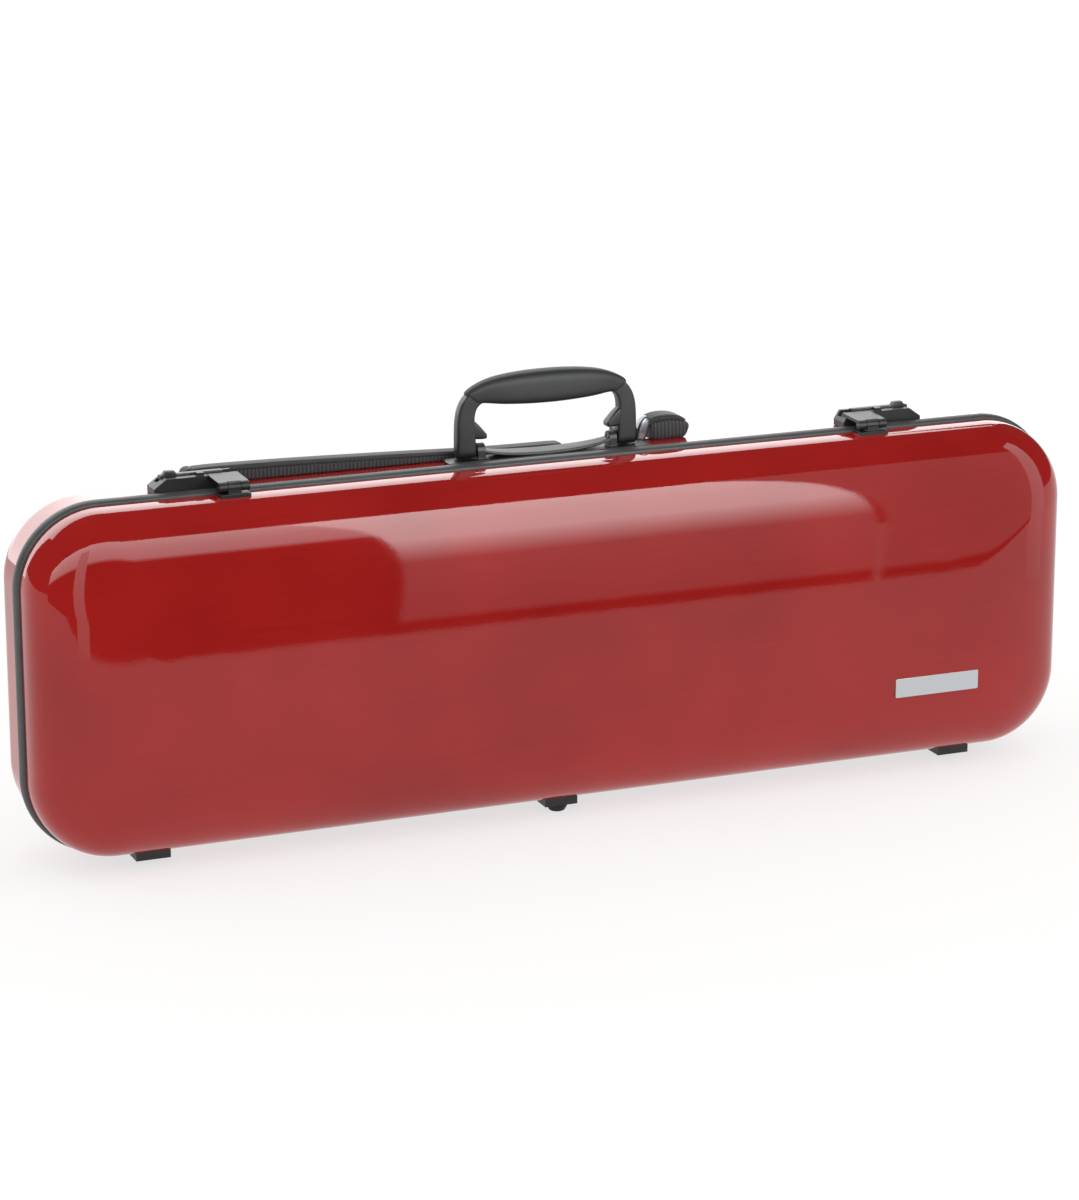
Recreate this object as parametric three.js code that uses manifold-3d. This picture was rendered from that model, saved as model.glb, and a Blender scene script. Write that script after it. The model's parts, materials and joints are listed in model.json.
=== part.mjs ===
// Oblong violin case standing on its spine: a rear base shell and a front lid shell of red polycarbonate,
// hinged along the spine, with two latches, a folding handle, a carrying strap and a padded interior.
// Millimetres, +Z up, +X along the length, -Y towards the front of the lid.
// Until the last lines Y is 0 on the seam where the lid meets the base, and Z is 0 at half height.
import * as THREE from "three";
import { mergeVertices } from "three/addons/utils/BufferGeometryUtils.js";
import Module from "manifold-3d";

const wasm = await Module();
wasm.setup();

// Shells
const caseLength = 790;
const caseHeight = 246;
const cornerRadius = 57;
const wall = 2.4;
const gap = 0.3;
const seamGap = 0.4;
const cornerSteps = 7;
const lid = { depth: 52, start: 3, inset: 58, lip: 1.1, crown: 2.4, crownWidth: 45 };
const base = { depth: 79, start: 40, inset: 40, draft: 1.4, edge: 3.7 };
const tighten = { lid: 0.78, base: 0.3 };

// Fittings on the shells
const band = { width: 12, proud: 2.6, lining: 4.6 };
const hinge = { stations: [-312, -6, 312], names: ["left", "centre", "right"], length: 25, axisZ: -125.7 };
const hingeBarrel = { radius: 2.4, bore: 1.5, pin: 1.2, leaf: 1.8 };
const foot = { bottom: -133, topRadius: 8.2, bottomRadius: 5 };
const footPlaces = { left: [-313, 25.5], right: [313, 25.5], centre: [-6, -11.2] };
const backFoot = { x: 250, z: 62, radius: 9, height: 4 };
const latch = { middle: 263, halfLength: 31.5, front: 12.8, rear: 29 };
const latchHeight = { shoulder: 127, recess: 130.4, top: 133.4 };
const flap = { middle: 244, halfWidth: 11, wing: 6, axisY: -7.5, axisZ: 129.4, rear: 19.6 };
const latchKnuckle = { radius: 3.4, pin: 1.1 };
const slide = { front: 20.4, rear: 26.1, travel: 8, bottom: 130, top: 134.6 };
const handle = { axisY: 24, axisZ: 130.5, halfWidth: 69, leg: 15, shoulder: 158, top: 184, thickness: 15 };
const handleHub = { radius: 5.2, pin: 1.5 };
const grip = { halfLength: 48, halfDepth: 11, middle: 172, top: 190, bottom: 163, bevel: 4 };
const strap = { front: 36, rear: 69, lift: 0.6, left: -240, right: 18 };
const ring = { width: 24, reach: 18, wire: 3, z: 127.5, y: 48, leftX: -277, rightX: 68 };

// Interior
const foam = { shrink: 5.2, front: 8, floor: 54 };
const foamPieces = { end: [-400, -248], neck: [-248, -32], body: [-32, 400] };
const violin = { bottomEnd: 356, topEnd: 2 };

const red = { color: 0x9c1f1d, roughness: 0.12, metalness: 0 };
const blackPlastic = { color: 0x1b1c1c, roughness: 0.5, metalness: 0 };
const bandPlastic = { color: 0x3a3c3c, roughness: 0.42, metalness: 0 };
const rubber = { color: 0x161616, roughness: 0.85, metalness: 0 };
const steel = { color: 0x9a9c9e, roughness: 0.3, metalness: 1 };
const silver = { color: 0xc9cbcd, roughness: 0.35, metalness: 1 };
const plush = { color: 0x5b5d61, roughness: 0.95, metalness: 0 };
const fabric = { color: 0x2b2c2e, roughness: 0.9, metalness: 0 };
const webbing = { color: 0x1a1a1c, roughness: 0.85, metalness: 0 };

const group = new THREE.Group();

// --- solids

function solidOf(geometry) {
  const bare = geometry.index ? geometry.toNonIndexed() : geometry.clone();
  bare.deleteAttribute("normal");
  bare.deleteAttribute("uv");
  const merged = mergeVertices(bare, 1e-4);
  const corners = merged.index.array;
  const kept = [];
  for (let i = 0; i < corners.length; i += 3) {
    const [a, b, c] = corners.slice(i, i + 3);
    if (a !== b && b !== c && c !== a) kept.push(a, b, c);
  }
  const vertProperties = merged.attributes.position.array;
  return new wasm.Manifold(new wasm.Mesh({ numProp: 3, vertProperties, triVerts: new Uint32Array(kept) }));
}

function addPart(name, solid, finish) {
  const made = solid.getMesh();
  const geometry = new THREE.BufferGeometry();
  geometry.setAttribute("position", new THREE.BufferAttribute(made.vertProperties.slice(), 3));
  geometry.setIndex(new THREE.BufferAttribute(made.triVerts.slice(), 1));
  geometry.computeVertexNormals();
  const mesh = new THREE.Mesh(geometry, new THREE.MeshStandardMaterial(finish));
  mesh.name = name;
  group.add(mesh);
}

function joined(solids) {
  return solids.reduce((whole, piece) => whole.add(piece));
}

// A block between two values on each axis, given in either order.
function block(x, y, z) {
  const size = [x, y, z].map(([a, b]) => Math.abs(b - a));
  const middle = [x, y, z].map(([a, b]) => (a + b) / 2);
  return solidOf(new THREE.BoxGeometry(...size).translate(...middle));
}

function rodAlongX(from, to, y, z, radius, sides = 12) {
  const rod = new THREE.CylinderGeometry(radius, radius, Math.abs(to - from), sides);
  return solidOf(rod.rotateZ(Math.PI / 2).translate((from + to) / 2, y, z));
}

function rodAlongY(from, to, x, z, radius, sides = 16) {
  const rod = new THREE.CylinderGeometry(radius, radius, Math.abs(to - from), sides);
  return solidOf(rod.translate(x, (from + to) / 2, z));
}

function shapeOf(points) {
  return new THREE.Shape(points.map(([u, v]) => new THREE.Vector2(u, v)));
}

// An outline pulled along an axis. The points are [y, z] along X, [x, z] along Y and [x, y] along Z.
function prism(axis, points, from, to, bevel = 0, curveSegments = 6) {
  const shape = points instanceof THREE.Shape ? points : shapeOf(points);
  const low = Math.min(from, to);
  const depth = Math.abs(to - from) - 2 * bevel;
  const edge = { bevelEnabled: bevel > 0, bevelSize: bevel, bevelThickness: bevel, bevelOffset: -bevel };
  const pulled = new THREE.ExtrudeGeometry(shape, { depth, curveSegments, bevelSegments: 1, ...edge });
  pulled.translate(0, 0, bevel);
  const [x, y, z] = [new THREE.Vector3(1, 0, 0), new THREE.Vector3(0, 1, 0), new THREE.Vector3(0, 0, 1)];
  const turn = new THREE.Matrix4();
  if (axis === "x") turn.makeBasis(y, z, x).setPosition(low, 0, 0);
  if (axis === "y") turn.makeBasis(x, z, y.clone().negate()).setPosition(0, low + Math.abs(to - from), 0);
  if (axis === "z") turn.setPosition(0, 0, low);
  return solidOf(pulled.applyMatrix4(turn));
}

function roundedRectangle(halfWidth, halfHeight, radius, middle = [0, 0]) {
  const shape = new THREE.Shape();
  const [u, v] = middle;
  shape.moveTo(u + halfWidth, v - halfHeight + radius);
  shape.absarc(u + halfWidth - radius, v + halfHeight - radius, radius, 0, Math.PI / 2);
  shape.absarc(u - halfWidth + radius, v + halfHeight - radius, radius, Math.PI / 2, Math.PI);
  shape.absarc(u - halfWidth + radius, v - halfHeight + radius, radius, Math.PI, 1.5 * Math.PI);
  shape.absarc(u + halfWidth - radius, v - halfHeight + radius, radius, 1.5 * Math.PI, 2 * Math.PI);
  return shape;
}

// --- shells and rings that follow the outline of the case

// The outline of the case at a depth y, moved out by offset. Inward offsets tighten the corners slowly.
function outline(offset, y, pull = tighten.lid) {
  const radius = cornerRadius + pull * offset;
  const halfX = caseLength / 2 + offset - radius;
  const halfZ = caseHeight / 2 + offset - radius;
  const ringPoints = [];
  [[1, 1], [-1, 1], [-1, -1], [1, -1]].forEach(([sx, sz], corner) => {
    for (let step = 0; step <= cornerSteps; step += 1) {
      const angle = ((corner + step / cornerSteps) * Math.PI) / 2;
      ringPoints.push([sx * halfX + radius * Math.cos(angle), y, sz * halfZ + radius * Math.sin(angle)]);
    }
  });
  return ringPoints;
}

// Skins consecutive rings. A loop joins the last ring to the first, otherwise both ends are closed by fans.
function skin(rings, loop) {
  const count = rings[0].length;
  const points = rings.flat();
  const triangles = [];
  const pairs = loop ? rings.length : rings.length - 1;
  for (let r = 0; r < pairs; r += 1) {
    const here = r * count;
    const next = ((r + 1) % rings.length) * count;
    for (let i = 0; i < count; i += 1) {
      const j = (i + 1) % count;
      triangles.push([here + i, here + j, next + j], [here + i, next + j, next + i]);
    }
  }
  if (!loop) {
    const last = (rings.length - 1) * count;
    for (let i = 1; i < count - 1; i += 1) {
      triangles.push([0, i + 1, i], [last, last + i, last + i + 1]);
    }
  }
  const corner = (index) => new THREE.Vector3(...points[index]);
  const volume = (t) => corner(t[0]).dot(corner(t[1]).cross(corner(t[2])));
  const outward = triangles.reduce((sum, t) => sum + volume(t), 0) > 0;
  const geometry = new THREE.BufferGeometry();
  geometry.setAttribute("position", new THREE.Float32BufferAttribute(points.flat(), 3));
  geometry.setIndex((outward ? triangles : triangles.map((t) => [t[0], t[2], t[1]])).flat());
  return solidOf(geometry);
}

// A closed profile of [offset, y] points carried round the case.
function hoop(profile) {
  return skin(profile.map(([offset, y]) => outline(offset, y)), true);
}

function quarterRound(part, shrink, steps) {
  const rise = part.depth - part.start - shrink;
  const run = part.inset - shrink;
  const draft = part.draft ?? 0;
  return Array.from({ length: steps + 1 }, (_, i) => {
    const angle = (i / steps) * (Math.PI / 2);
    const offset = -shrink - draft - run * (1 - Math.cos(angle));
    return [offset, part.start + rise * Math.sin(angle)];
  });
}

function lidRings(shrink, steps, crowned) {
  const rings = quarterRound(lid, shrink, steps);
  const [faceOffset, faceDepth] = rings[rings.length - 1];
  if (crowned) rings.push([faceOffset - lid.crownWidth, faceDepth + lid.crown]);
  return rings.map(([offset, depth]) => outline(offset, -depth));
}

function baseRings(shrink, steps) {
  return quarterRound(base, shrink, steps).map(([offset, depth]) => outline(offset, depth, tighten.base));
}

const lidEdge = [outline(0, -2), outline(-lid.lip, -seamGap)];
const lidOuter = lidRings(0, 8, true).reverse();
const lidInner = [outline(-wall, -seamGap), ...lidRings(wall, 6, true)];
const lidShell = skin([...lidOuter, ...lidEdge, ...lidInner], false);

const baseOuter = baseRings(0, 7).reverse();
const baseInner = baseRings(wall, 6);
const baseEdge = [outline(0, base.edge), outline(-wall, base.edge)];
const baseShell = skin([...baseOuter, ...baseEdge, ...baseInner], false);

// Everything inside these two is inside the skin of the case, with the usual gap.
const baseKeepOut = skin([...baseRings(-gap, 7).reverse(), outline(gap, 0)], false);
const lidKeepOut = skin([...lidRings(-gap, 8, true).reverse(), outline(gap, 0)], false);

function baseTop(y) {
  const turned = Math.max(0, (y - base.start) / (base.depth - base.start));
  const draft = base.draft * Math.min(1, (y - base.edge) / (base.start - base.edge));
  return caseHeight / 2 - draft - base.inset * (1 - Math.sqrt(1 - turned * turned));
}

// A strip that lies over the top rear edge of the base, from one y to another.
function overBase(x, front, rear, lift, thickness) {
  const steps = 6;
  const stops = Array.from({ length: steps + 1 }, (_, i) => front + ((rear - front) * i) / steps);
  const under = stops.map((y) => [y, baseTop(y) + lift]);
  const over = stops.map((y) => [y + 0.1 * (y - front), baseTop(y) + lift + thickness]).reverse();
  return prism("x", [...under, ...over], x[0], x[1]);
}

addPart("base_shell", baseShell, red);
addPart("lid_shell", lidShell, red);

// --- black band on the edge of the base, seal, and the tongue of the lid

function addRims() {
  const front = seamGap;
  const rear = front + band.width;
  const bead = 5;
  const lean = (base.draft * (rear - base.edge)) / (base.start - base.edge);
  const profile = [[gap, rear]];
  for (let i = 0; i <= bead; i += 1) {
    const angle = ((1 - i / bead) * 0.9 + 0.05) * Math.PI;
    const rise = (band.proud - gap) * Math.sin(angle);
    profile.push([gap + rise, front + (band.width * (1 - Math.cos(angle))) / 2]);
  }
  profile.reverse();
  profile.push([gap, base.edge - gap], [-wall - gap, base.edge - gap], [-wall - gap - lean, rear]);
  profile.push([-band.lining, rear], [-band.lining, front]);
  let valance = hoop(profile);
  hinge.stations.forEach((x) => {
    const half = hinge.length / 2 + 1;
    valance = valance.subtract(block([x - half, x + half], [-1, rear + 1], [-130, -caseHeight / 2 - 0.1]));
  });
  addPart("base_valance", valance, bandPlastic);

  const sealOut = -band.lining - gap;
  const sealIn = sealOut - 2.2;
  const sealProfile = [[sealOut, 4.5], [sealOut, 7.4], [sealIn, 7.4], [sealIn - 0.5, 6.2], [sealIn, 4.5]];
  addPart("rim_seal", hoop(sealProfile), rubber);

  const outer = -wall - gap;
  const tongue = -band.lining - gap;
  const tongueProfile = [[outer, -seamGap], [tongue, -seamGap], [tongue, 4]];
  tongueProfile.push([tongue - 1.8, 4], [tongue - 1.8, -7], [outer - 1.2, -9], [outer, -3]);
  addPart("lid_rim", hoop(tongueProfile), blackPlastic);
}
addRims();

// --- spine hinges and feet

function addHinge(x, name) {
  const { radius, bore, pin, leaf } = hingeBarrel;
  const half = hinge.length / 2;
  const knuckle = 5.6;
  const barrel = (from, to) => rodAlongX(x + from, x + to, 0, hinge.axisZ, radius);
  const hole = rodAlongX(x - half - 1, x + half + 1, 0, hinge.axisZ, bore);
  const leafTop = hinge.axisZ + 0.2;
  const relief = rodAlongX(x - knuckle - gap, x + knuckle + gap, 0, hinge.axisZ, radius + gap);
  const ends = barrel(-half, -knuckle - gap).add(barrel(knuckle + gap, half));
  const rearLeaf = block([x - half, x + half], [1.2, 29], [leafTop - leaf, leafTop]);
  const pad = block([x - half, x + half], [13, 29], [leafTop - 0.5, -caseHeight / 2 - 0.1]);
  const rear = joined([rearLeaf, pad]).subtract(relief).add(ends).subtract(hole).subtract(baseKeepOut);
  addPart("hinge_base_leaf_" + name, rear, blackPlastic);

  const frontLeaf = block([x - half, x + half], [-20, -1.2], [leafTop - leaf, leafTop]);
  const rise = block([x - half, x + half], [-20, -4], [leafTop - 0.5, -caseHeight / 2 + 6]);
  const cut = [-1, 1].map((side) => {
    return rodAlongX(x + side * knuckle, x + side * (half + 1), 0, hinge.axisZ, radius + gap);
  });
  const front = cut.reduce((solid, notch) => solid.subtract(notch), joined([frontLeaf, rise]));
  const middle = barrel(-knuckle, knuckle);
  addPart("hinge_lid_leaf_" + name, front.add(middle).subtract(hole).subtract(lidKeepOut), blackPlastic);
  addPart("hinge_pin_" + name, rodAlongX(x - half, x + half, 0, hinge.axisZ, pin, 8), steel);
}

function addFoot(name, x, y) {
  const top = hinge.axisZ + 0.2 - hingeBarrel.leaf - gap;
  const { bottom, topRadius, bottomRadius } = foot;
  const profile = [[0, bottom], [bottomRadius, bottom], [bottomRadius + 1, bottom + 0.8]];
  profile.push([topRadius - 0.4, top - 1.4], [topRadius, top], [0, top]);
  const lathe = new THREE.LatheGeometry(profile.map(([r, h]) => new THREE.Vector2(r, h)), 16);
  addPart(name, solidOf(lathe.rotateX(Math.PI / 2).translate(x, y, 0)), rubber);
}

hinge.stations.forEach((x, i) => addHinge(x, hinge.names[i]));
Object.entries(footPlaces).forEach(([name, [x, y]]) => addFoot("foot_" + name, x, y));

[["upper", 1], ["lower", -1]].forEach(([level, sz]) => {
  [["left", -1], ["right", 1]].forEach(([end, sx]) => {
    const from = base.depth + gap;
    const to = base.depth + backFoot.height;
    const pad = rodAlongY(from, to, sx * backFoot.x, sz * backFoot.z, backFoot.radius);
    addPart("back_foot_" + level + "_" + end, pad, rubber);
  });
});

// --- latches: housing and slide on the base, hinge block and flap on the lid

// A latch is drawn for the right-hand end, and side -1 mirrors it.
function addLatch(name, side) {
  const outer = latch.middle + latch.halfLength;
  const inner = latch.middle - latch.halfLength;
  const near = flap.middle - flap.halfWidth;
  const far = flap.middle + flap.halfWidth;
  const { axisY, axisZ, wing } = flap;
  const { radius, pin } = latchKnuckle;
  const across = (a, b) => [side * a, side * b];
  const mirrored = (points) => points.map(([x, z]) => [side * x, z]);
  const rod = (from, to, thickness) => rodAlongX(side * from, side * to, axisY, axisZ, thickness);

  // The housing: chamfered ends, a recess for the flap, a channel for the slide and a stop beside the flap.
  const root = caseHeight / 2 - 5;
  const face = [[inner, root], [inner, latchHeight.shoulder], [inner + 4, latchHeight.top]];
  face.push([outer - 9, latchHeight.top], [outer, latchHeight.shoulder], [outer, root]);
  const above = latchHeight.top + 6;
  const recessX = across(near - 2 * gap, far + 2 * gap);
  const recess = block(recessX, [0, slide.front - 0.4], [latchHeight.recess, above]);
  const channelY = [slide.front - gap, slide.rear + gap];
  const channel = block(across(inner - 1, outer + 1), channelY, [slide.bottom - gap, above]);
  const stopZ = [latchHeight.top - 1, latchHeight.top + 2.2];
  const stop = block(across(far + 3, far + 8), [latch.front + 1.2, latch.front + 6], stopZ);
  const body = prism("y", mirrored(face), latch.front, latch.rear).subtract(recess).subtract(channel);
  addPart("latch_housing_" + name, body.add(stop).subtract(baseKeepOut), blackPlastic);

  const barX = across(inner + slide.travel + 3, outer - 7);
  const bar = block(barX, [slide.front, slide.rear], [slide.bottom, slide.top]);
  const foot = slide.top - 0.6;
  const nubFace = [[outer - 16, foot], [outer - 14, foot + 5], [outer - 10, foot + 5], [outer - 8, foot]];
  const nub = prism("y", mirrored(nubFace), slide.front, slide.rear);
  addPart("latch_slide_" + name, bar.add(nub), blackPlastic);

  // The hinge: a block with the middle knuckle on the lid, and a flap with the two outer ones.
  const bore = rod(near - 1, far + 1, pin + gap);
  const seat = block(across(near, far), [axisY - 5.5, -1], [root, caseHeight / 2 + 2]);
  const inside = across(near + wing + gap, far - wing - gap);
  const postFace = [[axisY - 3, 124], [axisY - 3, axisZ], [axisY + 3, axisZ], [axisY + 3, 124]];
  const post = prism("x", postFace, ...inside);
  const eye = rodAlongX(...inside, axisY, axisZ, radius);
  const hingeBlock = joined([seat, post, eye]).subtract(bore).subtract(lidKeepOut);
  addPart("latch_hinge_block_" + name, hingeBlock, blackPlastic);

  const section = [[axisY, axisZ + 1.4], [axisY, axisZ + radius], [flap.rear - 2, latchHeight.top]];
  section.push([flap.rear, latchHeight.top - 1.4], [flap.rear, latchHeight.recess + gap]);
  const plate = prism("x", section, ...across(near, far));
  const clear = rod(near + wing, far - wing, radius + gap);
  const wings = [rod(near, near + wing, radius), rod(far - wing, far, radius)];
  const flapSolid = joined([plate.subtract(clear), ...wings]).subtract(bore);
  addPart("latch_flap_" + name, flapSolid, blackPlastic);
  addPart("latch_pin_" + name, rodAlongX(...across(near, far), axisY, axisZ, pin, 8), steel);
}
addLatch("left", -1);
addLatch("right", 1);

// --- handle

// The arch of the handle, from one leg over the top to the other, moved out by grow.
function archShape(grow, foot) {
  const { halfWidth, leg, shoulder, top, thickness } = handle;
  const inside = top - thickness - grow;
  const innerX = halfWidth - leg;
  const shape = new THREE.Shape();
  shape.moveTo(halfWidth, foot);
  shape.lineTo(halfWidth, shoulder);
  shape.bezierCurveTo(halfWidth - 2, shoulder + 12 + grow, 40, top + grow, 0, top + grow);
  shape.bezierCurveTo(-40, top + grow, -halfWidth + 2, shoulder + 12 + grow, -halfWidth, shoulder);
  shape.lineTo(-halfWidth, foot);
  shape.lineTo(-innerX, foot);
  shape.lineTo(-innerX, shoulder - 6 - grow);
  shape.bezierCurveTo(-innerX, shoulder + 6 - grow, -36, inside, 0, inside);
  shape.bezierCurveTo(36, inside, innerX, shoulder + 6 - grow, innerX, shoulder - 6 - grow);
  shape.lineTo(innerX, foot);
  return shape;
}

function gripShape() {
  const { halfLength, middle, top, bottom } = grip;
  const shape = new THREE.Shape();
  shape.moveTo(halfLength, middle);
  shape.bezierCurveTo(halfLength - 10, top - 4, 20, top, 0, top);
  shape.bezierCurveTo(-20, top, -halfLength + 10, top - 4, -halfLength, middle);
  shape.bezierCurveTo(-halfLength + 10, bottom - 1, -20, bottom + 1, 0, bottom);
  shape.bezierCurveTo(20, bottom + 1, halfLength - 10, bottom - 1, halfLength, middle);
  return shape;
}

function addHandle() {
  const { axisY, axisZ, halfWidth, leg } = handle;
  const { radius, pin } = handleHub;
  const innerX = halfWidth - leg;
  const onAxis = (from, to, thickness, sides) => rodAlongX(from, to, axisY, axisZ, thickness, sides);
  const bores = [-1, 1].map((side) => onAxis(side * 40, side * (halfWidth - 5), pin + gap));
  const drill = (solid) => bores.reduce((rest, hole) => rest.subtract(hole), solid);
  const arch = prism("y", archShape(0, axisZ), axisY - radius, axisY + radius);
  const hubs = [-1, 1].map((side) => onAxis(side * innerX, side * halfWidth, radius));
  addPart("handle_frame", drill(joined([arch, ...hubs])), blackPlastic);

  const sleeve = prism("y", gripShape(), axisY - grip.halfDepth, axisY + grip.halfDepth, grip.bevel);
  const core = radius + gap;
  const slot = prism("y", archShape(gap, handle.shoulder - 7), axisY - core, axisY + core);
  addPart("handle_grip", sleeve.subtract(slot), rubber);

  const plateShape = new THREE.Shape();
  plateShape.moveTo(-78, 13);
  plateShape.lineTo(78, 13);
  plateShape.quadraticCurveTo(80, 34, 62, 34);
  plateShape.quadraticCurveTo(0, 20, -62, 34);
  plateShape.quadraticCurveTo(-80, 34, -78, 13);
  const plate = prism("z", plateShape, 119, 124.9);
  const bossRadius = 5;
  const bosses = [-1, 1].map((side) => {
    const ends = [side * (innerX - gap - 6), side * (innerX - gap)];
    const post = block(ends, [axisY - bossRadius, axisY + bossRadius], [120, axisZ]);
    return onAxis(...ends, bossRadius).add(post);
  });
  addPart("handle_plate", drill(joined([plate, ...bosses])).subtract(baseKeepOut), blackPlastic);
  [["left", -1], ["right", 1]].forEach(([name, side]) => {
    addPart("handle_pin_" + name, onAxis(side * 48, side * (halfWidth - 6), pin, 8), steel);
  });
}
addHandle();

// --- carrying strap: two anchors with rings and snap hooks, webbing and a pad

function addStrapEnd(name, x) {
  const { width, reach, wire, z, y } = ring;
  const half = wire / 2;
  const anchor = block([x - 5, x + 4], [y - 7.5, y + 7.5], [112, z + 3.4]);
  const bore = rodAlongY(y - 9, y + 9, x, z, half + 0.7);
  addPart("strap_anchor_" + name, anchor.subtract(bore).subtract(baseKeepOut), blackPlastic);

  const loop = (grow) => {
    const shape = new THREE.Shape();
    const side = width / 2 + grow;
    shape.moveTo(x - grow, y - side);
    shape.lineTo(x + reach - 10, y - side);
    const tip = x + reach + grow;
    shape.bezierCurveTo(tip - 3, y - side, tip, y - 6, tip, y);
    shape.bezierCurveTo(tip, y + 6, tip - 3, y + side, x + reach - 10, y + side);
    shape.lineTo(x - grow, y + side);
    return shape;
  };
  const shape = loop(half);
  shape.holes.push(loop(-half));
  addPart("strap_ring_" + name, prism("z", shape, z - half, z + half, 0.6), steel);

  const bar = x + reach;
  const body = roundedRectangle(14, 6, 5.5, [bar + 7, z]);
  body.holes.push(roundedRectangle(5.2, 3.6, 3.4, [bar + 0.4, z]));
  addPart("strap_hook_" + name, prism("y", body, y - 2.4, y + 2.4, 0.6, 3), steel);
}

function addStrap() {
  addStrapEnd("left", ring.leftX);
  addStrapEnd("right", ring.rightX);
  const { front, rear, lift, left, right } = strap;
  const hookEnd = ring.reach + 21 + gap;
  const tail = overBase([ring.leftX + hookEnd, left + 26], front + 2, 60, lift, 4);
  addPart("strap_webbing_left", tail, webbing);
  addPart("strap_pad", overBase([left + 26 + gap, right], front, rear, lift, 6), fabric);
  const foldStart = ring.rightX + hookEnd;
  const fold = overBase([foldStart, foldStart + 40], front + 2, 68, lift, 15);
  const runBack = overBase([right + gap, foldStart + 4], 58.6, 68, lift, 4);
  addPart("strap_webbing_right", fold.add(runBack), webbing);
}
addStrap();

// --- nameplate, blank

const plateShape = roundedRectangle(34, 7.2, 1.2, [279, -59.5]);
const nameplate = prism("y", plateShape, -lid.depth - 1.8, -lid.depth + 2, 0, 2);
addPart("nameplate", nameplate.subtract(lidKeepOut), silver);

// --- interior of the base

function violinBody() {
  const { bottomEnd, topEnd } = violin;
  const half = [
    [bottomEnd, 0], [bottomEnd - 8, 56], [bottomEnd - 66, 106], [bottomEnd - 130, 84],
    [bottomEnd - 178, 60],
    [bottomEnd - 226, 66], [topEnd + 66, 87], [topEnd + 12, 62], [topEnd, 0],
  ];
  const bout = new THREE.SplineCurve(half.map(([x, z]) => new THREE.Vector2(x, z))).getPoints(26);
  const mirror = bout.slice(1, -1).reverse();
  return [...bout.map((p) => [p.x, p.y]), ...mirror.map((p) => [p.x, -p.y])];
}

function softBlock(x, y, z, bevel = 2.5) {
  const [halfX, halfZ] = [(x[1] - x[0]) / 2, (z[1] - z[0]) / 2];
  const shape = roundedRectangle(halfX, halfZ, 5, [(x[0] + x[1]) / 2, (z[0] + z[1]) / 2]);
  return prism("y", shape, y[0], y[1], bevel, 3);
}

function addInterior() {
  const { shrink, front, floor } = foam;
  const filling = skin([outline(-shrink, front), ...baseRings(shrink, 6)], false);
  const pockets = [
    prism("y", violinBody(), front - 4, floor),
    block([-140, 20], [front - 4, 46], [-24, 24]),
    block([-246, -135], [front - 4, 50], [-40, 40]),
    prism("y", roundedRectangle(53, 86, 14, [-315, 0]), front - 4, 52, 0, 4),
    block([-230, -40], [front - 4, 44], [52, 88]),
    block([-232, -38], [front - 4, 46], [-102, -50]),
    block([-362, 362], [59, 80], [-84, 84]),
  ];
  const insert = pockets.reduce((solid, pocket) => solid.subtract(pocket), filling);
  Object.entries(foamPieces).forEach(([name, [from, to]]) => {
    const slice = block([from + gap / 2, to - gap / 2], [0, 90], [-170, 170]);
    addPart("foam_" + name, insert.intersect(slice), plush);
  });
  addPart("end_cushion", softBlock([306, 346], [43, floor - gap], [-46, 46]), plush);
  addPart("heel_cushion", softBlock([14, 50], [43, floor - gap], [-40, 40]), plush);
  const cradle = softBlock([-78, -44], [24, 46 - gap], [-23.6, 23.6]);
  addPart("neck_cradle", cradle.subtract(rodAlongX(-90, -30, 22, 0, 15)), plush);
  addPart("neck_strap", softBlock([-73, -49], [5.4, front - gap], [-46, 46], 0.6), webbing);
  addPart("pocket_lid", softBlock([-234, -36], [5.2, front - gap], [48.4, 92], 0.6), fabric);
}
addInterior();

// --- interior of the lid

function addLidInterior() {
  const outer = wall + 0.4;
  const inner = outer + 4;
  const back = lidRings(outer, 6, false).slice(1).reverse();
  const padded = lidRings(inner, 5, false).slice(1);
  addPart("lid_lining", skin([...back, ...padded], false), plush);
  const liningFace = -(lid.depth - inner) + gap;
  [["upper", 1], ["lower", -1]].forEach(([name, side]) => {
    const z = 45 * side;
    const rest = softBlock([286, 322], [liningFace, -34], [z - 9, z + 9], 1.5);
    addPart("bow_rest_" + name, rest.subtract(rodAlongX(280, 330, -32.5, z + side * 4, 3.4)), plush);
    const button = roundedRectangle(17, 6, 5.8, [304, z]);
    addPart("bow_button_" + name, prism("y", button, -33.4, -27, 1, 3), blackPlastic);
  });
  const pocket = softBlock([-350, -305], [-43, -28], [-60, 60], 2);
  const slots = [-1, 1].map((side) => block([-344, -300], [-39.5, -31.5], [side * 36, side * 54]));
  addPart("bow_tip_pocket", slots.reduce((solid, slot) => solid.subtract(slot), pocket), fabric);
}
addLidInterior();

// The origin goes to the middle of the footprint, on the surface that the case stands on.
const bounds = new THREE.Box3().setFromObject(group);
const middle = bounds.getCenter(new THREE.Vector3());
group.position.set(-middle.x, -middle.y, -bounds.min.z);

export default group;
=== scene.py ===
import json
import math

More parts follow.
